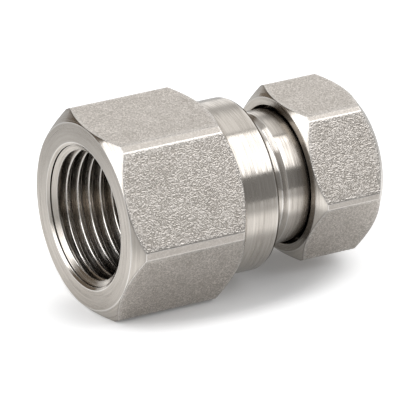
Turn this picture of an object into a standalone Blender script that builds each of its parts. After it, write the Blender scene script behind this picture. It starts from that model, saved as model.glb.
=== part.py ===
# Female adapter fitting for a metal tube: a hexagon body with a female parallel thread at one end
# and a twin-ferrule compression joint, closed by a hexagon nut, at the other.
#
# The four pieces share one axis. It runs along +X from the threaded mouth to the nut, at the
# height that lays the body's lower flat on Z = 0. Each piece is a closed profile of (place along
# the axis, radius) turned about the axis, and the hexagons are cut from the turned blanks flat by
# flat, as on a chamfered bar. The threads are plain cylinders: the female one at its crests, the
# compression joint's two on either side of their pitch line. The nut stands finger-tight.
import math

import bmesh
import bpy
from mathutils import Vector

MM = 0.001

# Body, threaded end
BODY_HEX = 27.0 * MM             # across flats
HEX_LENGTH = 18.6 * MM
BODY_CORNER_FLAT = 1.2 * MM      # width of the flat on each corner of the bar
PORT_CREST_RADIUS = 9.32 * MM    # G 1/2 female thread
PORT_ROOT_RADIUS = 10.48 * MM
PORT_RIM = 0.1 * MM              # the mouth is this much wider than the thread's roots
PORT_LIP_DEPTH = 0.3 * MM        # outer ring of the mouth's chamfer
PORT_LIP_WIDTH = 0.46 * MM
PORT_SINK_DEPTH = 0.72 * MM      # countersink behind the ring, down to the crests
PORT_DEPTH = 14.4 * MM           # to the end of the full bore
DRILL_ANGLE = math.radians(59)   # half angle of the cone that the drill leaves
THROUGH_RADIUS = 5.15 * MM       # smallest passage

# Chamfers of both hexagons
FACE_INSET = 0.08 * MM           # a face's round edge lies this far inside the flats
CHAMFER_SLOPE = 0.78             # depth for each unit of radius

# Body, tube end
COLLAR_STEP = 1.07 * MM          # the collar is turned this far below the flats
COLLAR_LENGTH = 5.85 * MM
COLLAR_EDGE = 0.18 * MM
GROOVE_LENGTH = 2.65 * MM        # between the collar and the neck, without the neck's cone
GROOVE_DEPTH = 0.52 * MM         # below the neck
NECK_LENGTH = 3.7 * MM
NECK_STEP = 0.08 * MM            # the neck stands this far above the thread's crests
RELIEF_LENGTH = 0.7 * MM
RELIEF_DEPTH = 0.24 * MM         # below the thread's cylinder
THREAD_LENGTH = 4.75 * MM
THREAD_PITCH = 1.27 * MM
THREAD_GAP = 0.15 * MM           # from the pitch line to each thread's cylinder
CREST_TO_PITCH_LINE = 0.325      # share of the pitch
TIP_CHAMFER = 0.65 * MM
TIP_RIM = 0.69 * MM              # flat ring at the tip, outside the ferrule's seat

# Tube and ferrules
TUBE_RADIUS = 6.35 * MM
TUBE_CLEARANCE = 0.06 * MM       # round the tube in the body and the ferrules
TUBE_DEPTH = 22.9 * MM           # from the nut's outer end to the tube's stop
FERRULE_WALL = 1.45 * MM         # at the thickest part of both
SEAT_ANGLE = math.radians(20)    # half angle of the body's seat and the front ferrule
CAM_ANGLE = math.radians(24)     # half angle of the back ferrule's nose
REAR_ANGLE = math.radians(45)    # half angle of the nut's shoulder and the back ferrule's rear
FRONT_NOSE_WALL = 0.25 * MM
FRONT_RIM_LENGTH = 1.0 * MM
BACK_NOSE_WALL = 0.3 * MM
BACK_NOSE_LENGTH = 1.3 * MM
BACK_RIM_LENGTH = 1.0 * MM
BACK_REAR_WALL = 0.4 * MM

# Tightening from finger-tight, which presses the ferrules on to the tube
TIGHTEN_TURNS = 1.25
FRONT_SHARE = 0.5                # part of the nut's travel that the front ferrule makes
TIGHT_GAP = 0.08 * MM            # left along the axis at each ferrule when the nut is tight
SHOULDER_GAP = 0.3 * MM          # square to the nut's shoulder
RUN_GAP = 0.25 * MM              # left along the axis between body and nut when the nut is tight

# Nut
NUT_HEX = 22.5 * MM              # across flats
NUT_CORNER_FLAT = 0.9 * MM
NUT_COVER = 0.27 * MM            # length of neck inside the nut when finger-tight
NUT_MOUTH_GAP = 0.33 * MM        # ring between the neck and the nut
NUT_MOUTH_EDGE = 0.12 * MM
NUT_CAVITY_GAP = 0.3 * MM        # round the ferrules
NUT_HOLE_GAP = 0.15 * MM         # round the tube
NUT_HOLE_LAND = 1.7 * MM
NUT_HOLE_EDGE = 0.45 * MM
NUT_END_INSET = 1.46 * MM        # the outer end's round edge lies this far inside the flats

FACETS = 96                      # round each piece
BLANK_MARGIN = 0.3 * MM          # a blank is turned this much larger than the hexagon's corners

# Finishes: colour and roughness
BODY_STEEL = ((0.55, 0.52, 0.48, 1.0), 0.34)
NUT_STEEL = ((0.52, 0.49, 0.46, 1.0), 0.36)
FERRULE_STEEL = ((0.58, 0.56, 0.53, 1.0), 0.22)

# Travel of the nut as it is tightened, and of the front ferrule with it
nut_travel = TIGHTEN_TURNS * THREAD_PITCH
seat_travel = FRONT_SHARE * nut_travel + TIGHT_GAP
ferrule_slack = (1 - FRONT_SHARE) * nut_travel + TIGHT_GAP

# Radii, each built on the one inside it, from the tube outwards
tube_hole = TUBE_RADIUS + TUBE_CLEARANCE
ferrule_radius = tube_hole + FERRULE_WALL
seat_mouth = ferrule_radius + seat_travel * math.tan(SEAT_ANGLE)
tip_radius = seat_mouth + TIP_RIM
crest_radius = tip_radius + TIP_CHAMFER
pitch_line = crest_radius - CREST_TO_PITCH_LINE * THREAD_PITCH
neck_radius = crest_radius + NECK_STEP
collar_radius = BODY_HEX / 2 - COLLAR_STEP
cavity_radius = ferrule_radius + NUT_CAVITY_GAP
nut_hole = tube_hole + NUT_HOLE_GAP

# Places along the axis, from the threaded mouth to the nut's outer end
collar_end = HEX_LENGTH + COLLAR_LENGTH
neck_start = collar_end + GROOVE_LENGTH + GROOVE_DEPTH
neck_end = neck_start + NECK_LENGTH
thread_start = neck_end + RELIEF_LENGTH
tip = thread_start + THREAD_LENGTH
front_rear = tip + FRONT_RIM_LENGTH
back_front = front_rear + ferrule_slack
back_rim_end = back_front + BACK_RIM_LENGTH
shoulder_start = back_rim_end + SHOULDER_GAP / math.sin(REAR_ANGLE) - NUT_CAVITY_GAP / math.tan(REAR_ANGLE)
shoulder_end = shoulder_start + (cavity_radius - nut_hole) / math.tan(REAR_ANGLE)
nut_end = shoulder_end + NUT_HOLE_LAND
nut_mouth = neck_end - NUT_COVER
tube_stop = nut_end - TUBE_DEPTH


def corner_distance(across, corner_flat):
    """From the axis to a corner's flat: the sharp corner less the height of the tip cut off."""
    return across / math.sqrt(3) - corner_flat / (2 * math.sqrt(3))


def blank_radius(across, corner_flat):
    return math.hypot(corner_distance(across, corner_flat), corner_flat / 2) + BLANK_MARGIN


def body_profile():
    blank = blank_radius(BODY_HEX, BODY_CORNER_FLAT)
    face = BODY_HEX / 2 - FACE_INSET
    chamfer = (blank - face) * CHAMFER_SLOPE
    thread = pitch_line - THREAD_GAP
    relief = thread - RELIEF_DEPTH
    outside = [
        (0, face),
        (chamfer, blank),
        (HEX_LENGTH - chamfer, blank),
        (HEX_LENGTH, face),
        (HEX_LENGTH, collar_radius),
        (collar_end - COLLAR_EDGE, collar_radius),
        (collar_end, collar_radius - COLLAR_EDGE),
        (collar_end, neck_radius - GROOVE_DEPTH),
        (neck_start - GROOVE_DEPTH, neck_radius - GROOVE_DEPTH),
        (neck_start, neck_radius),
        (neck_end, neck_radius),
        (neck_end, relief),
        (thread_start, relief),
        (thread_start, thread),
        (tip - (thread - tip_radius), thread),
        (tip, tip_radius),
    ]
    return outside + tube_socket_profile() + port_profile()


def tube_socket_profile():
    """From the tip: the ferrule's conical seat, the tube's socket and its stop."""
    seat_end = tip - (seat_mouth - tube_hole) / math.tan(SEAT_ANGLE)
    return [
        (tip, seat_mouth),
        (seat_end, tube_hole),
        (tube_stop, tube_hole),
        (tube_stop, THROUGH_RADIUS),
    ]


def port_profile():
    """From the smallest passage to the mouth: the drill's cone, the threaded bore and its chamfer."""
    mouth = PORT_ROOT_RADIUS + PORT_RIM
    drill_cone = (PORT_CREST_RADIUS - THROUGH_RADIUS) / math.tan(DRILL_ANGLE)
    return [
        (PORT_DEPTH + drill_cone, THROUGH_RADIUS),
        (PORT_DEPTH, PORT_CREST_RADIUS),
        (PORT_LIP_DEPTH + PORT_SINK_DEPTH, PORT_CREST_RADIUS),
        (PORT_LIP_DEPTH, mouth - PORT_LIP_WIDTH),
        (0, mouth),
    ]


def front_ferrule_profile():
    """Its origin is where its cone ends, at the body's tip when the nut is finger-tight."""
    nose = tube_hole + FRONT_NOSE_WALL
    cone = (ferrule_radius - nose) / math.tan(SEAT_ANGLE)
    cam_mouth = back_nose_root()
    cam = (cam_mouth - tube_hole) / math.tan(CAM_ANGLE)
    return [
        (0, ferrule_radius),
        (FRONT_RIM_LENGTH, ferrule_radius),
        (FRONT_RIM_LENGTH, cam_mouth),
        (FRONT_RIM_LENGTH - cam, tube_hole),
        (-cone, tube_hole),
        (-cone, nose),
    ]


def back_nose_root():
    return tube_hole + BACK_NOSE_WALL + BACK_NOSE_LENGTH * math.tan(CAM_ANGLE)


def back_ferrule_profile():
    """Its origin is the front of its rim, which faces the front ferrule's rear."""
    rear = tube_hole + BACK_REAR_WALL
    rear_cone = (ferrule_radius - rear) / math.tan(REAR_ANGLE)
    return [
        (0, ferrule_radius),
        (BACK_RIM_LENGTH, ferrule_radius),
        (BACK_RIM_LENGTH + rear_cone, rear),
        (BACK_RIM_LENGTH + rear_cone, tube_hole),
        (-BACK_NOSE_LENGTH, tube_hole),
        (-BACK_NOSE_LENGTH, tube_hole + BACK_NOSE_WALL),
        (0, back_nose_root()),
    ]


def nut_profile():
    """Its origin is the middle of its mouth."""
    blank = blank_radius(NUT_HEX, NUT_CORNER_FLAT)
    length = nut_end - nut_mouth
    face = NUT_HEX / 2 - FACE_INSET
    end_face = NUT_HEX / 2 - NUT_END_INSET
    mouth = neck_radius + NUT_MOUTH_GAP
    thread = pitch_line + THREAD_GAP
    thread_begin = neck_end + nut_travel + RUN_GAP - nut_mouth
    cavity_begin = tip + nut_travel + RUN_GAP - nut_mouth
    return [
        (0, face),
        ((blank - face) * CHAMFER_SLOPE, blank),
        (length - (blank - end_face) * CHAMFER_SLOPE, blank),
        (length, end_face),
        (length, nut_hole + NUT_HOLE_EDGE),
        (length - NUT_HOLE_EDGE, nut_hole),
        (shoulder_end - nut_mouth, nut_hole),
        (shoulder_start - nut_mouth, cavity_radius),
        (cavity_begin, cavity_radius),
        (cavity_begin, thread),
        (thread_begin, thread),
        (thread_begin, mouth),
        (NUT_MOUTH_EDGE, mouth),
        (0, mouth + NUT_MOUTH_EDGE),
    ]


def turned(profile):
    """The closed profile spun once about the X axis."""
    made = bmesh.new()
    points = [made.verts.new((place, 0, radius)) for place, radius in profile]
    edges = [made.edges.new((a, b)) for a, b in zip(points, points[1:] + points[:1])]
    bmesh.ops.spin(
        made,
        geom=points + edges,
        cent=(0, 0, 0),
        axis=(1, 0, 0),
        angle=math.tau,
        steps=FACETS,
        use_merge=True,
    )
    bmesh.ops.recalc_face_normals(made, faces=made.faces)
    return made


def cut_flat(made, angle, distance):
    """Mills one flat, square to the direction at this angle from +Y towards +Z, and closes it."""
    normal = Vector((0, math.cos(angle), math.sin(angle)))
    cut = bmesh.ops.bisect_plane(
        made,
        geom=made.verts[:] + made.edges[:] + made.faces[:],
        dist=MM * 1e-5,
        plane_co=normal * distance,
        plane_no=normal,
        clear_outer=True,
    )
    rim = [item for item in cut["geom_cut"] if isinstance(item, bmesh.types.BMEdge)]
    bmesh.ops.contextual_create(made, geom=rim)


def cut_hexagon(made, across, corner_flat):
    """Six flats, one of them underneath, and six narrow ones on the corners between them."""
    for side in range(6):
        cut_flat(made, math.radians(30 + 60 * side), across / 2)
    for corner in range(6):
        cut_flat(made, math.radians(60 * corner), corner_distance(across, corner_flat))
    bmesh.ops.recalc_face_normals(made, faces=made.faces)


def steel(name, finish):
    colour, roughness = finish
    made = bpy.data.materials.new(name)
    made.use_nodes = True
    shader = made.node_tree.nodes["Principled BSDF"]
    shader.inputs["Base Color"].default_value = colour
    shader.inputs["Roughness"].default_value = roughness
    shader.inputs["Metallic"].default_value = 1.0
    return made


def add_piece(name, made, axis, place, finish):
    mesh = bpy.data.meshes.new(name)
    made.to_mesh(mesh)
    made.free()
    mesh.shade_smooth()
    mesh.set_sharp_from_angle(angle=math.radians(20))
    mesh.materials.append(steel(name + "_steel", finish))
    piece = bpy.data.objects.new(name, mesh)
    piece.parent = axis
    piece.location = (place, 0, 0)
    bpy.context.scene.collection.objects.link(piece)


def add_axis():
    """Everything hangs on this empty: the fitting is centred on X = 0 and lies on its lower flat."""
    axis = bpy.data.objects.new("fitting_axis", None)
    axis.location = (-nut_end / 2, 0, BODY_HEX / 2)
    bpy.context.scene.collection.objects.link(axis)
    return axis


def add_body(axis):
    made = turned(body_profile())
    cut_hexagon(made, BODY_HEX, BODY_CORNER_FLAT)
    add_piece("body", made, axis, 0, BODY_STEEL)


def add_nut(axis):
    made = turned(nut_profile())
    cut_hexagon(made, NUT_HEX, NUT_CORNER_FLAT)
    add_piece("compression_nut", made, axis, nut_mouth, NUT_STEEL)


def build():
    for old in list(bpy.data.objects):
        bpy.data.objects.remove(old)
    axis = add_axis()
    add_body(axis)
    add_piece("front_ferrule", turned(front_ferrule_profile()), axis, tip, FERRULE_STEEL)
    add_piece("back_ferrule", turned(back_ferrule_profile()), axis, back_front, FERRULE_STEEL)
    add_nut(axis)


build()
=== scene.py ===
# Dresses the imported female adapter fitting: fine surfaces with cut threads and broken edges,
# grained and turned stainless steel, a white floor, studio light and the photograph's camera.
import math

import bmesh
import bpy
import numpy as np
from mathutils import Matrix, Vector


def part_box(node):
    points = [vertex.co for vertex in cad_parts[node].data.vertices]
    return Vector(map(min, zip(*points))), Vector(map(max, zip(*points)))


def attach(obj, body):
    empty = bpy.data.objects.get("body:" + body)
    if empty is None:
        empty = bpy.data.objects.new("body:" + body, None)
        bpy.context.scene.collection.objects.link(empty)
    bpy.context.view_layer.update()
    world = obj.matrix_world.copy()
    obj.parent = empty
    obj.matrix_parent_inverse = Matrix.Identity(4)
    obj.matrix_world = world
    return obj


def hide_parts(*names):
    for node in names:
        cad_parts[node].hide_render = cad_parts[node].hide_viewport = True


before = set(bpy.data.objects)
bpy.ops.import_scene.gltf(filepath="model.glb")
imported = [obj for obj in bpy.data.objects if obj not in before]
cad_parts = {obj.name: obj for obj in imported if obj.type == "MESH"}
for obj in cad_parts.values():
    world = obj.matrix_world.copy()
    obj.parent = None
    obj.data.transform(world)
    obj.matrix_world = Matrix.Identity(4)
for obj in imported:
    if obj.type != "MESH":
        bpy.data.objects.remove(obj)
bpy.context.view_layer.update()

mm = 0.001
bodyLow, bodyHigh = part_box("body")
mouthPlace = bodyLow.x                        # plane of the threaded mouth
axisHeight = (bodyLow.z + bodyHigh.z) / 2     # the common axis runs along X at this height
fullTurn = 2 * math.pi

# Places along the axis are millimetres from the threaded mouth, towards the nut. Radii and other
# lengths of the pieces are millimetres too.
surface = {
    "cornerSteps": 3,       # faces in each rounded edge
    "roundedShare": 0.4,    # of the shorter run beside a corner, the most that its edge takes
    "edgeEnd": 0.3,         # edge mask where a rounded edge ends
    "holdRow": 0.2,         # from a rounded edge to the nearer of two rows that keep the run flat
    "heldShare": 0.08,      # of the run, the most that this distance is
    "longestRun": 3.0,      # between two rows
    "flatColumn": 0.8,      # between two columns on a hexagon flat
    "roundColumns": 168,    # columns of a piece that has no hexagon
    "mergeDistance": 1e-6,  # metres
}


# A profile with rounded corners, for all columns at once. rounding gives the radius of each corner
# in turn, leaving out the profile's two ends. A corner P becomes the curve
# (1-s)^2 A + 2s(1-s) P + s^2 B, where A and B lie t before and after P, and t is the rounding
# times tan(turn / 2), at most a share of the shorter run beside it. With hold, two further rows
# on each side, at that distance and at three times it, keep the runs flat. Returns the rows, how
# far each is part of a rounded edge, and which of them are the nearer ones beside it.
def roundedRows(corners, rounding, columnCount, hold=surface["holdRow"], longest=surface["longestRun"]):
    path = np.array([[np.broadcast_to(value, columnCount) for value in corner] for corner in corners])
    run = np.diff(path, axis=0)
    length = np.linalg.norm(run, axis=1)
    ahead = run / length[:, None]
    held = np.minimum(hold, surface["heldShare"] * length)
    rows = [path[0]]
    edge = [0.0]
    beside = [0.0]

    def add(row, onEdge, besideEdge):
        rows.append(row)
        edge.append(onEdge)
        beside.append(besideEdge)

    for k in range(1, len(path)):
        last = k == len(path) - 1
        reach = 0
        if not last:
            turn = np.arccos(np.clip((ahead[k - 1] * ahead[k]).sum(axis=0), -1, 1))
            shorter = np.minimum(length[k - 1], length[k])
            reach = np.minimum(rounding[k - 1] * np.tan(turn / 2), surface["roundedShare"] * shorter)
        start = rows[-1]
        end = path[k] - (reach + (0 if last else 3 * held[k - 1])) * ahead[k - 1]
        fill = math.ceil(float(np.linalg.norm(end - start, axis=0).mean()) / longest)
        for step in range(1, fill):
            add(start + (end - start) * step / fill, 0.0, 0.0)
        if last:
            add(end, 0.0, 0.0)
            break
        if hold:
            add(end, 0.0, 0.0)
            add(path[k] - (reach + held[k - 1]) * ahead[k - 1], 0.0, 1.0)
        before = path[k] - reach * ahead[k - 1]
        after = path[k] + reach * ahead[k]
        for s in np.linspace(0, 1, surface["cornerSteps"] + 1):
            add((1 - s) ** 2 * before + 2 * s * (1 - s) * path[k] + s ** 2 * after,
                1.0 if 0 < s < 1 else surface["edgeEnd"], 0.0)
        if hold:
            add(path[k] + (reach + held[k]) * ahead[k], 0.0, 1.0)
            add(path[k] + (reach + 3 * held[k]) * ahead[k], 0.0, 0.0)
    return np.array(rows), np.array(edge), np.array(beside)


# A hexagon with a narrow flat on each corner, as columns round the axis: one sixth is a rounded
# path from the middle of one corner flat to the next, and the others are that path turned by
# 60 degrees each. Returns each column's angle from +Y towards +Z, its distance from the axis,
# and whether it lies on a main flat, on a rounded edge and close beside one.
def hexagonColumns(across, cornerFlat, rounding):
    out = across / math.sqrt(3) - cornerFlat / (2 * math.sqrt(3))
    sixth = math.radians(60)
    turn = np.array([[math.cos(sixth), -math.sin(sixth)], [math.sin(sixth), math.cos(sixth)]])
    corners = [(out, 0), (out, cornerFlat / 2), turn @ (out, -cornerFlat / 2), turn @ (out, 0)]
    rows, edge, beside = roundedRows(corners, [rounding, rounding], 1, longest=surface["flatColumn"])
    points = rows[:-1, :, 0]
    angle = np.arctan2(points[:, 1], points[:, 0])
    radius = np.hypot(points[:, 0], points[:, 1])
    onFlat = np.isclose(radius * np.cos(angle - sixth / 2), across / 2)
    angle = np.concatenate([angle + k * sixth for k in range(6)])
    return angle, *(np.tile(values, 6) for values in (radius, onFlat, edge[:-1], beside[:-1]))


# A right-hand thread as rows that follow its helix. One pitch is a rounded trapezium from crest to
# crest. A row's place is crest place + pitch * (turns + share + angle / full turn), held between
# the two ends, and its radius is the trapezium's at that place. limit bounds it near the ends.
# Also returns the rows in a pitch, because each row closes on the one a pitch further on.
def threadRows(thread, crest, root, ends, limit, angle):
    pitch = thread["pitch"]
    crestHalf = thread["crestShare"] * pitch / 2
    rootHalf = thread["rootShare"] * pitch / 2
    trapezium = [
        (0, crest), (crestHalf, crest), (pitch / 2 - rootHalf, root), (pitch / 2 + rootHalf, root),
        (pitch - crestHalf, crest), (pitch, crest),
    ]
    wave = roundedRows(trapezium, [thread["round"]] * 4, 1, hold=0, longest=thread["longestRun"])[0]
    share = wave[:-1, 0, 0] / pitch
    firstTurn = math.floor((ends[0] - thread["crestPlace"]) / pitch) - 1
    lastTurn = math.ceil((ends[1] - thread["crestPlace"]) / pitch)
    turns = (np.arange(firstTurn, lastTurn + 1)[:, None] + share).ravel()
    place = thread["crestPlace"] + pitch * (turns[:, None] + angle / fullTurn)
    place = np.clip(place, *ends)
    phase = ((place - thread["crestPlace"]) / pitch - angle / fullTurn) % 1
    radius = limit(place, np.interp(phase, wave[:, 0, 0] / pitch, wave[:, 1, 0]))
    return np.stack([place, radius], axis=1), len(share)


# One stretch of a turned surface: its rows, its masks, and for a thread the shift of its rows
# where the last column closes on the first. The masks say how far a point is on a broken edge,
# on a hexagon's side, where 1 is a main flat, and how much painted shade, dark brown, it takes.
def stretch(rows, edge=0.0, flat=0.0, cut=0.0, pitchRows=0):
    return {"rows": rows, "edge": edge, "flat": flat, "cut": cut, "pitchRows": pitchRows}


# How far a thread's rows are below its crest: 0 at the crest and 1 at the root.
def depth(rows, crest, root):
    return np.clip((rows[:, 1] - crest) / (root - crest), 0, 1)


# Closes stretches of rows into one mesh round the axis: the point of a row's place and radius in
# column j is (place, radius * cos angle, radius * sin angle). Doubles are merged and the normals
# are turned outwards.
def addTurned(name, angle, stretches):
    rows = np.concatenate([part["rows"] for part in stretches])
    place, radius = rows[:, 0], rows[:, 1]
    corner = np.stack([
        mouthPlace + place * mm,
        radius * np.cos(angle) * mm,
        axisHeight + radius * np.sin(angle) * mm,
    ], axis=-1)
    closing = []
    first = 0
    for part in stretches:
        count = len(part["rows"])
        closing.append(first + np.clip(np.arange(count) + part["pitchRows"], 0, count - 1))
        first += count
    index = np.arange(place.size).reshape(place.shape)
    index = np.concatenate([index, index[np.concatenate(closing), :1]], axis=1)
    index = np.concatenate([index, index[:1]], axis=0)
    faces = np.stack([index[:-1, :-1], index[:-1, 1:], index[1:, 1:], index[1:, :-1]], axis=-1)
    made = bpy.data.meshes.new(name)
    made.from_pydata(corner.reshape(-1, 3), [], faces.reshape(-1, 4).tolist())
    for key in ("edge", "flat", "cut"):
        values = [np.broadcast_to(part[key], part["rows"][:, 0].shape) for part in stretches]
        layer = made.attributes.new(key, "FLOAT", "POINT")
        layer.data.foreach_set("value", np.concatenate(values).ravel().astype(np.float32))
    work = bmesh.new()
    work.from_mesh(made)
    bmesh.ops.remove_doubles(work, verts=work.verts, dist=surface["mergeDistance"])
    bmesh.ops.recalc_face_normals(work, faces=work.faces)
    work.to_mesh(made)
    work.free()
    made.shade_smooth()
    made.calc_loop_triangles()
    openEdges = 2 * len(made.edges) - len(made.loops)
    print(name, len(made.loop_triangles), "triangles,", openEdges, "open edges")
    piece = bpy.data.objects.new(name, made)
    bpy.context.scene.collection.objects.link(piece)
    return piece


hexagonMasks = {
    "rimHighlight": 0.22,      # edge mask of a painted highlight rim just inside a flat's broken edges
    "cornerEdge": 0.45,   # edge mask on the broken edges between two flats
    "cornerFlat": 0.3,    # flat mask on a corner's narrow flat
    "line": 0.75,         # painted-shade mask of a dark line on the chamfer along the flats
    "lineHeight": 0.17,   # below the hexagon's side, where that line has faded out
    "faceMargin": 0.004,  # beyond the face's edge, where the chamfer starts
}


# Rows of a chamfered hexagon and what is turned on it. The masks mark the main flats, their
# broken edges with a painted highlight rim inside them, and a painted shade line on the chamfer along
# them.
def hexagonStretch(corners, rounding, hexagon, face):
    m = hexagonMasks
    angle, side, onFlat, onEdge, besideEdge = hexagon
    rows, edge, beside = roundedRows(corners, rounding, len(angle))
    radius = rows[:, 1]
    onSide = np.isclose(radius, side).all(axis=1)[:, None]
    rim = onFlat * np.maximum(beside[:, None], besideEdge) * m["rimHighlight"]
    closeness = np.clip(1 - (side - radius) / m["lineHeight"], 0, 1)
    onChamfer = ~onSide & (radius > face + m["faceMargin"])
    return stretch(
        rows, edge=np.maximum(edge[:, None], onSide * np.maximum(onEdge * m["cornerEdge"], rim)),
        flat=onSide * np.maximum(onFlat, m["cornerFlat"]), cut=onChamfer * closeness * m["line"])


# Paints shade, dark brown, on part of a stretch, and takes the lighter edge tone off there.
def paintShade(part, where, amount):
    part["cut"] = np.where(where, np.maximum(amount, part["cut"]), part["cut"])
    part["edge"] = np.where(where, 0.0, part["edge"])


# Body
body = {
    "across": 27.0, "cornerFlat": 1.21, "cornerRound": 0.5,
    "face": 13.42, "faceMiddle": 12.0, "slope": 0.78, "hexEnd": 18.6,
    "collar": 12.43, "collarEnd": 24.62, "bevelLength": 0.42, "bevelDepth": 0.2,
    "groove": 9.078, "rampStart": 27.0, "neck": 9.598, "neckStart": 27.74, "neckEnd": 31.32,
    "relief": 8.715, "threadStart": 32.02, "maleRunOut": 1.2,
    "outsideRounding": [0.3, 0.1, 0.1, 0.2, 0.03, 0.12, 0.12, 0.08, 0.25, 0.1, 0.08, 0.05],
    "tip": 36.77, "tipRim": 8.75, "tipFace": 0.3, "seatMouth": 8.178, "seatEnd": 31.912,
    "tubeBore": 6.41, "tubeStop": 20.168, "passage": 5.15, "drillEnd": 16.906,
    "insideRounding": [0.08, 0.3, 0.05, 0.1, 0.1],
    "portEnd": 14.4, "portStart": 1.14, "femaleRunOut": 1.6, "sinkEnd": 1.02, "landEnd": 0.56,
    "lipDepth": 0.29, "lipInner": 10.14, "mouth": 10.58, "sinkRounding": [0.12, 0.1, 0.1, 0.2],
    "bevelShade": 0.8, "bevelMargin": 0.06, "placeMargin": 0.01,
    "neckShade": 0.62, "shadeStart": 28.7, "shadeMore": 0.9, "shadeFull": 30.6,
    "gapShade": 0.9, "gapDepth": 0.2, "maleThreadShade": 0.8, "insideShade": 0.5,
    "grooveShade": 0.34, "grooveLip": 0.25, "rootShade": 0.36, "crestEdge": 0.08,
    "stepMargin": 0.02, "stepDepth": 0.05,
    "highlightAngle": -45, "highlightFocus": 5, "highlightEdge": 0.5, "highlightGroove": 0.8,
    "highlightStep": 0.75,
}
portThread = {"pitch": 1.814, "crestPlace": 0.856, "crestShare": 0.08, "rootShare": 0.2, "round": 0.1,
              "longestRun": 0.3}
portCrest, portRoot = 9.32, 10.47
nutThread = {"pitch": 1.27, "crestPlace": 32.4, "crestShare": 0.14, "rootShare": 0.2, "round": 0.08,
             "longestRun": 1.0}
nutThreadCrest, nutThreadRoot, nutThreadGap = 9.518, 8.76, 0.06


# The painted-shade masks say how much painted shade the bevel, the neck, the gap behind it, the
# threads and the bores take. At its lower far side the threaded bore is highlighted: painted
# highlight on its crests, paler painted shade in its grooves and a fainter painted shade line at the
# step.
def addBody():
    b = body
    hexagon = hexagonColumns(b["across"], b["cornerFlat"], b["cornerRound"])
    angle, side = hexagon[:2]
    chamfer = (side - b["face"]) * b["slope"]
    outside = [
        (0, b["faceMiddle"]), (0, b["face"]), (chamfer, side), (b["hexEnd"] - chamfer, side),
        (b["hexEnd"], b["face"]), (b["hexEnd"], b["collar"]),
        (b["collarEnd"] - b["bevelLength"], b["collar"]),
        (b["collarEnd"], b["collar"] - b["bevelDepth"]),
        (b["collarEnd"], b["groove"]), (b["rampStart"], b["groove"]), (b["neckStart"], b["neck"]),
        (b["neckEnd"], b["neck"]), (b["neckEnd"], b["relief"]), (b["threadStart"], b["relief"]),
    ]
    inside = [
        (b["tip"], b["seatMouth"] + b["tipFace"]), (b["tip"], b["seatMouth"]),
        (b["seatEnd"], b["tubeBore"]),
        (b["tubeStop"], b["tubeBore"]), (b["tubeStop"], b["passage"]), (b["drillEnd"], b["passage"]),
        (b["portEnd"], portCrest),
    ]
    sink = [(b["portStart"], portCrest), (b["sinkEnd"], portCrest), (b["landEnd"], b["lipInner"]),
            (b["lipDepth"], b["lipInner"]), (0, b["mouth"]), (0, b["faceMiddle"])]

    # the male thread is bevelled into the relief behind it and at the tip
    def maleLimit(place, radius):
        runOut = b["relief"] + (place - b["threadStart"]) * b["maleRunOut"]
        tipBevel = b["tipRim"] + b["tip"] - place
        return np.minimum(radius, np.minimum(runOut, tipBevel))

    # the female thread's grooves deepen from the countersink on and end in the drilled bore
    def femaleLimit(place, radius):
        nearest = np.minimum(place - b["portStart"], b["portEnd"] - place)
        return np.minimum(radius, portCrest + nearest * b["femaleRunOut"])

    male, malePitch = threadRows(nutThread, nutThreadCrest, nutThreadRoot,
                                 (b["threadStart"], b["tip"]), maleLimit, angle)
    female, femalePitch = threadRows(portThread, portCrest, portRoot,
                                     (b["portStart"], b["portEnd"]), femaleLimit, angle)
    # painted shade deepening into the female thread's grooves, most at their roots
    groove = b["grooveShade"] * depth(female, portCrest, portCrest + b["grooveLip"])
    groove = groove + b["rootShade"] * depth(female, portCrest, portRoot)
    # painted highlight: on the bore's lower far side the crests' lighter tone reaches further down the
    # flanks and the painted shade is paler
    highlighted = np.cos(angle - math.radians(b["highlightAngle"]))
    highlighted = np.clip(highlighted, 0, 1) ** b["highlightFocus"]
    crestEdge = b["crestEdge"] + b["highlightEdge"] * highlighted

    outer = hexagonStretch(outside, b["outsideRounding"], hexagon, b["face"])
    place = outer["rows"][:, 0]
    # painted shade: a dark line on the bevel at the collar's end
    bevelStart = b["collarEnd"] - b["bevelLength"] + b["bevelMargin"]
    paintShade(outer, (place > bevelStart) & (place < b["collarEnd"] + b["placeMargin"]), b["bevelShade"])

    # painted shade and painted reflection of the nut: the neck darkens towards the nut, darkest at the
    # gap, and sooner above and below than at its sides
    shadeStart = b["shadeStart"] - b["shadeMore"] * np.sin(angle) ** 2
    shade = b["neckShade"] * (place - shadeStart) / (b["shadeFull"] - shadeStart)
    shade = np.where(place > b["neckEnd"] - b["gapDepth"], b["gapShade"], np.minimum(shade, b["neckShade"]))
    paintShade(outer, place > shadeStart, shade)

    insideRows, insideEdge = roundedRows(inside, b["insideRounding"], len(angle))[:2]
    sinkRows, sinkEdge = roundedRows(sink, b["sinkRounding"], len(angle))[:2]
    countersink = stretch(sinkRows, edge=sinkEdge[:, None])
    place, radius = sinkRows[:, 0], sinkRows[:, 1]
    # painted shade: a dark line on the countersink's step, fainter on the highlighted side
    inStep = (place > b["lipDepth"] + b["stepMargin"]) & (place < b["landEnd"] + b["stepMargin"])
    inStep = inStep & (radius > b["lipInner"] - b["stepDepth"])
    paintShade(countersink, inStep, 1 - b["highlightStep"] * highlighted)
    return addTurned("fitting_body_steel", angle, [
        outer,
        # painted shade in the male thread's roots and inside the bores
        stretch(male, cut=b["maleThreadShade"] * depth(male, nutThreadCrest, nutThreadRoot),
                pitchRows=malePitch),
        stretch(insideRows, edge=insideEdge[:, None], cut=b["insideShade"]),
        stretch(female[::-1], edge=1 - depth(female, portCrest, portCrest + crestEdge)[::-1],
                cut=(groove * (1 - b["highlightGroove"] * highlighted))[::-1], pitchRows=-femalePitch),
        countersink,
    ])


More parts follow.
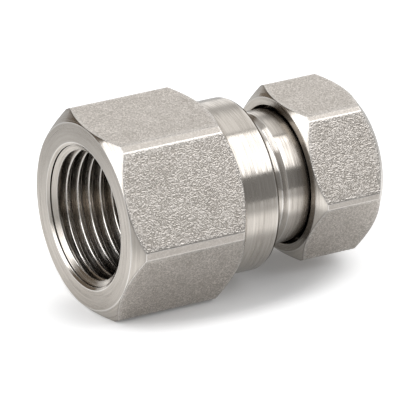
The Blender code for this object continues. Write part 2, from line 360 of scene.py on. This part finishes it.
# Compression nut
nut = {
    "across": 22.5, "cornerFlat": 0.9, "cornerRound": 0.4, "slope": 0.78,
    "start": 31.05, "end": 43.068, "face": 11.17, "endFace": 9.79, "faceMiddle": 10.6,
    "hole": 6.56, "holeBreak": 0.45, "shoulderEnd": 41.368, "shoulderStart": 39.768,
    "cavity": 8.16, "threadEnd": 38.608, "threadStart": 33.158, "mouth": 9.928, "mouthBreak": 0.15,
    "outsideRounding": [0.2, 0.08, 0.08, 0.15, 0.1, 0.1, 0.1, 0.2, 0.1],
    "counterboreRounding": [0.05, 0.06, 0.06], "runOut": 1.6,
    "threadShade": 0.8, "ringShade": 0.28, "wallShade": 0.9,
    "ringMargin": 0.1, "wallBreak": 0.6, "placeMargin": 0.01,
}


# The painted-shade masks say how much painted shade the threads, the ring of the face and the wall of the
# mouth take.
def addNut():
    n = nut
    hexagon = hexagonColumns(n["across"], n["cornerFlat"], n["cornerRound"])
    angle, side = hexagon[:2]
    crest = nutThreadRoot + nutThreadGap
    root = nutThreadCrest + nutThreadGap
    outside = [
        (n["start"], n["faceMiddle"]), (n["start"], n["face"]),
        (n["start"] + (side - n["face"]) * n["slope"], side),
        (n["end"] - (side - n["endFace"]) * n["slope"], side),
        (n["end"], n["endFace"]), (n["end"], n["hole"] + n["holeBreak"]),
        (n["end"] - n["holeBreak"], n["hole"]), (n["shoulderEnd"], n["hole"]),
        (n["shoulderStart"], n["cavity"]), (n["threadEnd"], n["cavity"]), (n["threadEnd"], crest),
    ]
    counterbore = [
        (n["threadStart"], root), (n["threadStart"], n["mouth"]),
        (n["start"] + n["mouthBreak"], n["mouth"]), (n["start"], n["mouth"] + n["mouthBreak"]),
        (n["start"], n["faceMiddle"]),
    ]

    # the thread's crests are bevelled at its mouth, and its grooves end before the cavity
    def limit(place, radius):
        bevel = root - (place - n["threadStart"])
        runOut = crest + (n["threadEnd"] - place) * n["runOut"]
        return np.minimum(np.maximum(radius, bevel), runOut)

    threaded, pitchRows = threadRows(nutThread, root, crest, (n["threadStart"], n["threadEnd"]),
                                     limit, angle)
    outer = hexagonStretch(outside, n["outsideRounding"], hexagon, n["face"])
    bore = stretch(roundedRows(counterbore, n["counterboreRounding"], len(angle))[0])
    for part in (outer, bore):
        place, radius = part["rows"][:, 0], part["rows"][:, 1]
        # painted shade in the gap: on the ring of the face, and darker on the mouth's wall
        inGap = (radius < n["face"] - n["ringMargin"]) & (place < n["threadStart"] + n["placeMargin"])
        onWall = radius < n["mouth"] + n["mouthBreak"] * n["wallBreak"]
        paintShade(part, inGap, np.where(onWall, n["wallShade"], n["ringShade"]))
    return addTurned("compression_nut_steel", angle, [
        outer,
        stretch(threaded[::-1], cut=n["threadShade"] * depth(threaded, crest, root)[::-1],
                pitchRows=-pitchRows),
        bore,
    ])


# Ferrules: the front one's cone seats in the body, the back one's nose enters the front one
ferrule = {
    "outside": 7.86, "bore": 6.41, "rim": 1.0, "round": 0.08,
    "frontStart": 36.77, "frontNose": 6.66, "seatAngle": 20,
    "backStart": 38.644, "backNose": 6.71, "backNoseLength": 1.3, "noseAngle": 24,
    "backRear": 6.81,
}


# A ring from the corners of its cross-section. Its rows start and end halfway between the first
# corner and the last.
def addRing(name, corners):
    closed = [tuple((np.array(corners[0]) + corners[-1]) / 2)]
    closed = closed + corners + closed
    angle = np.linspace(0, fullTurn, surface["roundColumns"], endpoint=False)
    rows, edge = roundedRows(closed, [ferrule["round"]] * len(corners), len(angle))[:2]
    return addTurned(name, angle, [stretch(rows, edge=edge[:, None])])


def addFerrules():
    f = ferrule
    noseRoot = f["backNose"] + f["backNoseLength"] * math.tan(math.radians(f["noseAngle"]))
    mouthLength = (noseRoot - f["bore"]) / math.tan(math.radians(f["noseAngle"]))
    coneLength = (f["outside"] - f["frontNose"]) / math.tan(math.radians(f["seatAngle"]))
    front, back = f["frontStart"], f["backStart"]
    frontRing = addRing("front_ferrule_steel", [
        (front, f["outside"]), (front + f["rim"], f["outside"]), (front + f["rim"], noseRoot),
        (front + f["rim"] - mouthLength, f["bore"]), (front - coneLength, f["bore"]),
        (front - coneLength, f["frontNose"]),
    ])
    rear = back + f["rim"] + f["outside"] - f["backRear"]
    backRing = addRing("back_ferrule_steel", [
        (back, f["outside"]), (back + f["rim"], f["outside"]), (rear, f["backRear"]),
        (rear, f["bore"]), (back - f["backNoseLength"], f["bore"]),
        (back - f["backNoseLength"], f["backNose"]), (back, noseRoot),
    ])
    return frontRing, backRing


print("cutting the surfaces")
bodyPiece = addBody()
nutPiece = addNut()
frontPiece, backPiece = addFerrules()


# Makes one shader node. settings are its own properties; values fills its sockets by name or
# number, where a socket is joined and anything else is set.
def addNode(tree, kind, values=None, **settings):
    made = tree.nodes.new("ShaderNode" + kind)
    for name, value in settings.items():
        setattr(made, name, value)
    for name, value in (values or {}).items():
        socket = made.inputs[name]
        if isinstance(value, bpy.types.NodeSocket):
            tree.links.new(value, socket)
        else:
            socket.default_value = value
    return made


def calculate(tree, operation, first, second=0.0):
    return addNode(tree, "Math", {0: first, 1: second}, operation=operation).outputs[0]


# The value's place between low and high, as a smooth step from 0 to 1.
def smoothStep(tree, value, low, high):
    step = addNode(tree, "MapRange", {"Value": value, "From Min": low, "From Max": high},
                   interpolation_type="SMOOTHSTEP")
    return step.outputs[0]


def blendColour(tree, factor, first, second):
    mix = addNode(tree, "Mix", {"Factor": factor}, data_type="RGBA")
    for socket, value in ((mix.inputs[6], first), (mix.inputs[7], second)):
        if isinstance(value, bpy.types.NodeSocket):
            tree.links.new(value, socket)
        else:
            socket.default_value = (*value, 1.0)
    return mix.outputs[2]


def newGroup(name, inputs, outputs):
    tree = bpy.data.node_groups.new(name, "ShaderNodeTree")
    for socketName, kind in inputs:
        tree.interface.new_socket(name=socketName, in_out="INPUT", socket_type="NodeSocket" + kind)
    for socketName, kind in outputs:
        tree.interface.new_socket(name=socketName, in_out="OUTPUT", socket_type="NodeSocket" + kind)
    return tree, tree.nodes.new("NodeGroupInput").outputs, tree.nodes.new("NodeGroupOutput").inputs


texture = {
    "lineAround": 1.4,    # noise steps of the turned lines in a radian round the axis
    "ridgeScale": 0.35,   # scale of the noise that the grain's ridges follow, to the finer one's
    "ridgeTurns": 45.0,   # radians that the ridges' sine goes through while that noise goes from 0 to 1
    "ridgeHeight": 0.3,   # to the finer noise's 1
    "hexagonFrom": 0.25,  # flat mask from which a point counts as part of a hexagon's side
}


# Lines left by the lathe: a noise that is fine along the axis and the radius and slow round them.
def makeTurnedLines():
    tree, given, out = newGroup("turned lines", [("Point", "Vector"), ("Scale", "Float")],
                                [("Line", "Float")])
    xyz = addNode(tree, "SeparateXYZ", {0: given["Point"]}).outputs
    ySquared = calculate(tree, "MULTIPLY", xyz[1], xyz[1])
    zSquared = calculate(tree, "MULTIPLY", xyz[2], xyz[2])
    radius = calculate(tree, "SQRT", calculate(tree, "ADD", ySquared, zSquared))
    cosine = calculate(tree, "DIVIDE", xyz[1], radius)
    sine = calculate(tree, "DIVIDE", xyz[2], radius)
    point = addNode(tree, "CombineXYZ", {
        0: calculate(tree, "MULTIPLY", xyz[0], given["Scale"]),
        1: calculate(tree, "MULTIPLY", radius, given["Scale"]),
        2: calculate(tree, "MULTIPLY", cosine, texture["lineAround"])}).outputs[0]
    noise = addNode(tree, "TexNoise", {
        "Vector": point, "W": calculate(tree, "MULTIPLY", sine, texture["lineAround"]),
        "Scale": 1.0, "Detail": 4.0, "Roughness": 0.7}, noise_dimensions="4D")
    tree.links.new(noise.outputs[0], out["Line"])
    return tree


# The grain of the hexagon flats: winding ridges along the level lines of a slow noise, as the sine
# of that noise, with a finer noise over them. It is 0 on average, so no step shows where it ends.
def makeFlatGrain():
    tree, given, out = newGroup("flat grain", [("Point", "Vector"), ("Scale", "Float")],
                                [("Height", "Float")])
    slow = addNode(tree, "TexNoise", {
        "Vector": given["Point"], "Detail": 2.0, "Roughness": 0.5,
        "Scale": calculate(tree, "MULTIPLY", given["Scale"], texture["ridgeScale"])})
    ridge = calculate(tree, "SINE", calculate(tree, "MULTIPLY", slow.outputs[0], texture["ridgeTurns"]))
    fine = addNode(tree, "TexNoise", {
        "Vector": given["Point"], "Scale": given["Scale"], "Detail": 2.0, "Roughness": 0.6})
    height = calculate(tree, "ADD", calculate(tree, "MULTIPLY", ridge, texture["ridgeHeight"]),
                       calculate(tree, "SUBTRACT", fine.outputs[0], 0.5))
    tree.links.new(height, out["Height"])
    return tree


turnedLines = makeTurnedLines()
flatGrain = makeFlatGrain()


def addGroup(tree, group, values):
    made = tree.nodes.new("ShaderNodeGroup")
    made.node_tree = group
    for name, value in values.items():
        if isinstance(value, bpy.types.NodeSocket):
            tree.links.new(value, made.inputs[name])
        else:
            made.inputs[name].default_value = value
    return made.outputs[0]


# A new metal, with its tree, its shader and the point on the piece measured from the axis.
def startSteel(name):
    made = bpy.data.materials.new(name)
    made.use_nodes = True
    tree = made.node_tree
    shader = tree.nodes["Principled BSDF"]
    shader.inputs["Metallic"].default_value = 1.0
    place = addNode(tree, "TexCoord").outputs["Object"]
    point = addNode(tree, "Mapping", {"Vector": place, "Location": (0, 0, -axisHeight)}).outputs[0]
    return made, tree, shader, point


# Stretches a noise over low to high, from reach below its middle of 0.5 to reach above it.
def between(tree, value, low, high, reach):
    spread = addNode(tree, "MapRange", {"Value": value, "From Min": 0.5 - reach, "From Max": 0.5 + reach,
                                        "To Min": low, "To Max": high})
    return spread.outputs[0]


def mask(tree, name):
    return addNode(tree, "Attribute", attribute_name=name).outputs["Fac"]


# Steel with two looks, mixed by the mask of hexagon sides. Turned surfaces have lines round the
# axis and a highlight drawn out across them; the flats have winding grain, darker in its hollows.
# Both take painted shade, dark brown, where their painted-shade mask says, which also dims their
# reflection, and are lighter and smoother where an edge is broken, partly worn and partly painted
# highlight.
def makeSteel(name, finish):
    made, tree, shader, point = startSteel(name)
    onFlat, onEdge = mask(tree, "flat"), mask(tree, "edge")
    onHexagon = smoothStep(tree, onFlat, 0.0, texture["hexagonFrom"])
    turned = calculate(tree, "SUBTRACT", 1.0, onHexagon)

    line = addGroup(tree, turnedLines, {"Point": point, "Scale": finish["lineScale"]})
    coarse = addGroup(tree, turnedLines, {
        "Point": point, "Scale": finish["lineScale"] * finish["coarseScale"]})
    lines = calculate(tree, "ADD", calculate(tree, "MULTIPLY", line, 1 - finish["coarseTone"]),
                      calculate(tree, "MULTIPLY", coarse, finish["coarseTone"]))
    turnedTone = blendColour(tree, between(tree, lines, 0, 1, finish["toneReach"]),
                             finish["turned"], finish["turnedWarm"])
    turnedRough = between(tree, line, *finish["turnedRough"], finish["roughReach"])
    lineHeight = calculate(tree, "ADD", line, calculate(tree, "MULTIPLY", coarse, finish["coarseDepth"]))
    lineHeight = calculate(tree, "MULTIPLY", lineHeight, finish["lineDepth"])

    grain = addGroup(tree, flatGrain, {"Point": point, "Scale": finish["grainScale"]})
    broad = addNode(tree, "TexNoise", {"Vector": point, "Scale": finish["broadScale"], "Detail": 4.0,
                                       "Roughness": 0.65}).outputs[0]
    mixed = calculate(tree, "ADD", grain, calculate(tree, "MULTIPLY", broad, finish["broadShare"]))
    flatTone = blendColour(tree, smoothStep(tree, mixed, *finish["hollow"]),
                           finish["flatWarm"], finish["flat"])
    flatTone = blendColour(tree, onFlat, finish["strip"], flatTone)
    flatRough = between(tree, broad, *finish["flatRough"], finish["broadReach"])
    grainHeight = calculate(tree, "MULTIPLY", calculate(tree, "MULTIPLY", grain, onFlat),
                            finish["grainDepth"])

    tone = blendColour(tree, onHexagon, turnedTone, flatTone)
    # painted shade: where the mask says, the colour turns dark brown
    tone = blendColour(tree, mask(tree, "cut"), tone, finish["cut"])
    # broken edges take a lighter tone, partly wear and partly painted highlight
    tone = blendColour(tree, onEdge, tone, finish["wornAndHighlight"])
    rough = calculate(tree, "ADD", calculate(tree, "MULTIPLY", turned, turnedRough),
                      calculate(tree, "MULTIPLY", onHexagon, flatRough))
    smoother = calculate(tree, "MULTIPLY", onEdge, finish["edgeSmoother"])
    rough = calculate(tree, "SUBTRACT", rough, smoother)
    height = calculate(tree, "ADD", calculate(tree, "MULTIPLY", lineHeight, turned), grainHeight)
    bump = addNode(tree, "Bump", {"Height": height, "Distance": 1.0})
    around = addNode(tree, "Tangent", direction_type="RADIAL", axis="X")
    tree.links.new(tone, shader.inputs["Base Color"])
    # painted shade also dims the reflection there
    tree.links.new(blendColour(tree, mask(tree, "cut"), (1, 1, 1), finish["cut"]),
                   shader.inputs["Specular Tint"])
    tree.links.new(rough, shader.inputs["Roughness"])
    tree.links.new(bump.outputs[0], shader.inputs["Normal"])
    tree.links.new(calculate(tree, "MULTIPLY", turned, finish["anisotropy"]),
                   shader.inputs["Anisotropic"])
    shader.inputs["Anisotropic Rotation"].default_value = 0.25
    tree.links.new(around.outputs[0], shader.inputs["Tangent"])
    return made


# The colours are those of turned surfaces and their darker lines, of broken edges, worn and with
# painted highlight, of the flats and their hollows, of the corners' narrow flats and of painted
# shade. A pair is a low and a high value.
# lineScale, grainScale and broadScale are noise steps in a metre, lineDepth and grainDepth metres.
# coarseScale and coarseDepth are to the fine lines' 1. coarseTone and broadShare say how much the
# coarse lines and the broad noise add to the colour.
bodyFinish = {
    "turned": (0.66, 0.615, 0.56), "turnedWarm": (0.485, 0.446, 0.4), "wornAndHighlight": (0.86, 0.83, 0.79),
    "flat": (0.88, 0.82, 0.76), "flatWarm": (0.53, 0.484, 0.433), "strip": (0.37, 0.342, 0.312),
    # the first colour on the next line is that of painted shade
    "cut": (0.09, 0.072, 0.055), "turnedRough": (0.09, 0.31), "roughReach": 0.14,
    "flatRough": (0.27, 0.33), "broadReach": 0.2, "edgeSmoother": 0.1, "anisotropy": 0.8,
    "lineScale": 2900.0, "lineDepth": 2.4e-6, "coarseScale": 0.3, "coarseTone": 0.25,
    "coarseDepth": 1.3, "toneReach": 0.13, "grainScale": 3000.0, "grainDepth": 1.85e-5,
    "broadScale": 350.0, "broadShare": 0.6, "hollow": (0.05, 0.85),
}
nutFinish = {**bodyFinish, "turned": (0.78, 0.735, 0.67), "turnedWarm": (0.56, 0.517, 0.465)}
ferruleFinish = {**bodyFinish, "turned": (0.63, 0.60, 0.56)}

print("mixing the finishes")
for piece, finish, ridesOn, node, slot in (
    (bodyPiece, bodyFinish, "fitting_body", "body", "body_steel"),
    (nutPiece, nutFinish, "nut", "compression_nut", "nut_steel"),
    (frontPiece, ferruleFinish, "front_ring", "front_ferrule", "ferrule_steel"),
    (backPiece, ferruleFinish, "back_ring", "back_ferrule", "ferrule_steel"),
):
    piece.data.materials.append(makeSteel(node + " stainless steel", finish))
    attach(piece, ridesOn)
    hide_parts(node)

# Camera: a pinhole fitted to the photograph
view = {
    "azimuth": -31.187, "elevation": 25.755, "roll": 2.153,     # degrees
    "distance": 1.044586, "target": (-0.001094, 0.0, 0.010327),  # metres
    "focal": 7407.852, "pictureWidth": 418, "sensor": 36.0,      # pixels, pixels, mm
    "clip": (0.05, 20.0),                                        # metres
}


# The unit vector from the object to a place at this azimuth (0 in front, at -Y, and 90 at +X)
# and elevation.
def towards(azimuth, elevation):
    a, e = math.radians(azimuth), math.radians(elevation)
    return Vector((math.sin(a) * math.cos(e), -math.cos(a) * math.cos(e), math.sin(e)))


def addCamera():
    back = towards(view["azimuth"], view["elevation"])
    right = Vector((0, 0, 1)).cross(back).normalized()
    up = back.cross(right)
    r = math.radians(view["roll"])
    axes = (math.cos(r) * right + math.sin(r) * up, math.cos(r) * up - math.sin(r) * right, back)
    data = bpy.data.cameras.new("camera")
    data.sensor_width = view["sensor"]
    data.lens = view["focal"] / view["pictureWidth"] * view["sensor"]
    data.clip_start, data.clip_end = view["clip"]
    camera = bpy.data.objects.new("camera", data)
    camera.matrix_world = Matrix.Translation(
        Vector(view["target"]) + back * view["distance"]) @ Matrix(axes).transposed().to_4x4()
    bpy.context.scene.collection.objects.link(camera)
    bpy.context.scene.camera = camera


addCamera()

# Stage: floor, lamps and the room that the metal mirrors. The floor glows for the camera outside
# its shadow. In the metal it shows a painted reflection in three levels of colour: darker near the
# fitting, as painted shade, lighter in a ring round it and darker far off.
stage = {
    "floorHalf": 4.0, "floorColour": (0.8, 0.8, 0.8), "nearGlow": 0.1, "cameraGlow": 0.37,
    "shadowMiddle": (-0.003, -0.003, 0), "shadowStretch": (2.15, 1, 1), "shadowReach": (0.0078, 0.0125),
    "nearMiddle": (0.003, -0.004, 0), "nearStretch": (1.6, 1.25, 1), "nearReach": (0.0125, 0.02),
    "farMiddle": (0.008, -0.004, 0), "farStretch": (1.2, 1.25, 1), "farReach": (0.03, 0.066),
    "mirrored": (0.5, 1.03, 0.5),
    "lampColour": (0.98, 0.995, 1.02),
    "softboxes": (  # name, azimuth, elevation, distance, width, height, radiance
        ("front softbox", 54, 49, 0.7, 0.64, 0.40, 1.7),
        ("left softbox", -98, 38, 0.7, 0.55, 0.80, 1.75),
    ),
    "upperRoom": (0.6, 0.6, 0.6),
    "patches": (  # azimuth, half width, lowest and highest elevation, softness, colour
        (135, 55, -12, 21.5, 6, (1.15, 1.15, 1.15)),
        (25, 55, -12, 31, 2, (0.275, 0.275, 0.275)),
        (-64, 22, -12, 31, 6, (0.42, 0.42, 0.42)),
        (-71, 13, -12, 11, 3, (0.2, 0.2, 0.2)),
        (-99, 12, -1, 16, 3, (1.5, 1.5, 1.5)),
        (-150, 24, -10, 38, 5, (0.17, 0.14, 0.11)),
        (125, 19, 32, 74, 6, (1.08, 1.08, 1.08)),
        (84, 10, 48, 74, 4, (2.1, 2.1, 2.1)),
    ),
}


def addFloor():
    half = stage["floorHalf"]
    made = bpy.data.meshes.new("floor")
    made.from_pydata([(-half, -half, 0), (half, -half, 0), (half, half, 0), (-half, half, 0)], [],
                     [(0, 1, 2, 3)])
    floor = bpy.data.objects.new("floor", made)
    bpy.context.scene.collection.objects.link(floor)
    paint = bpy.data.materials.new("floor white")
    paint.use_nodes = True
    tree = paint.node_tree
    shader = tree.nodes["Principled BSDF"]
    shader.inputs["Roughness"].default_value = 0.9
    shader.inputs["Specular IOR Level"].default_value = 0.0
    shader.inputs["Emission Color"].default_value = (1, 1, 1, 1)
    path = addNode(tree, "LightPath").outputs
    place = addNode(tree, "TexCoord").outputs["Object"]

    def distance(middle, stretched):
        moved = addNode(tree, "Mapping", {"Vector": place, "Location": middle, "Scale": stretched},
                        vector_type="TEXTURE").outputs[0]
        return addNode(tree, "VectorMath", {0: moved}, operation="LENGTH").outputs["Value"]

    # painted reflection: the floor's colour for rays from the metal, darker near the fitting as painted
    # shade
    near, bright, far = ((level,) * 3 for level in stage["mirrored"])
    away = distance(stage["nearMiddle"], stage["nearStretch"])
    mirrored = blendColour(tree, smoothStep(tree, away, *stage["nearReach"]), near, bright)
    away = distance(stage["farMiddle"], stage["farStretch"])
    mirrored = blendColour(tree, smoothStep(tree, away, *stage["farReach"]), mirrored, far)
    colour = blendColour(tree, path["Is Glossy Ray"], stage["floorColour"], mirrored)
    tree.links.new(colour, shader.inputs["Base Color"])
    away = distance(stage["shadowMiddle"], stage["shadowStretch"])
    glow = calculate(tree, "MULTIPLY", smoothStep(tree, away, *stage["shadowReach"]), stage["cameraGlow"])
    glow = calculate(tree, "ADD", calculate(tree, "MULTIPLY", path["Is Camera Ray"], glow),
                     stage["nearGlow"])
    tree.links.new(glow, shader.inputs["Emission Strength"])
    made.materials.append(paint)


def addSoftbox(name, azimuth, elevation, distance, width, height, radiance):
    data = bpy.data.lights.new(name, "AREA")
    data.shape = "RECTANGLE"
    data.size = width
    data.size_y = height
    data.energy = radiance * math.pi * width * height
    data.color = stage["lampColour"]
    lamp = bpy.data.objects.new(name, data)
    back = towards(azimuth, elevation)
    right = Vector((0, 0, 1)).cross(back).normalized()
    axes = Matrix((right, back.cross(right), back)).transposed()
    lamp.matrix_world = Matrix.Translation(back * distance) @ axes.to_4x4()
    bpy.context.scene.collection.objects.link(lamp)
    lamp.visible_camera = False


# The room round the object, as patches of wall on a plain upper part. A patch is a window of
# azimuth, found from the cosine of the turn to its middle, and of elevation. The camera sees white.
def addRoom():
    world = bpy.data.worlds.new("room")
    bpy.context.scene.world = world
    world.use_nodes = True
    tree = world.node_tree
    tree.nodes.clear()
    way = addNode(tree, "SeparateXYZ", {0: addNode(tree, "TexCoord").outputs["Generated"]}).outputs
    level = calculate(tree, "SQRT", calculate(
        tree, "SUBTRACT", 1.0, calculate(tree, "MULTIPLY", way[2], way[2])))
    elevation = calculate(tree, "DEGREES", calculate(tree, "ARCSINE", way[2]))
    colour = blendColour(tree, 0.0, stage["upperRoom"], stage["upperRoom"])
    for azimuth, half, low, high, soft, shade in stage["patches"]:
        a = math.radians(azimuth)
        near = calculate(tree, "SUBTRACT", calculate(tree, "MULTIPLY", way[0], math.sin(a)),
                         calculate(tree, "MULTIPLY", way[1], math.cos(a)))
        cosine = calculate(tree, "DIVIDE", near, level)
        window = smoothStep(tree, cosine, math.cos(math.radians(half + soft)),
                            math.cos(math.radians(max(half - soft, 0))))
        rise = smoothStep(tree, elevation, low - soft, low + soft)
        fall = smoothStep(tree, elevation, high - soft, high + soft)
        window = calculate(tree, "MULTIPLY", window, calculate(
            tree, "MULTIPLY", rise, calculate(tree, "SUBTRACT", 1.0, fall)))
        colour = blendColour(tree, window, colour, shade)
    camera = addNode(tree, "LightPath").outputs["Is Camera Ray"]
    colour = blendColour(tree, camera, colour, (1.0, 1.0, 1.0))
    background = addNode(tree, "Background", {"Color": colour, "Strength": 1.0})
    output = addNode(tree, "OutputWorld")
    tree.links.new(background.outputs[0], output.inputs["Surface"])


print("setting the stage")
addFloor()
for softbox in stage["softboxes"]:
    addSoftbox(*softbox)
addRoom()
bpy.context.scene.view_settings.view_transform = "Standard"
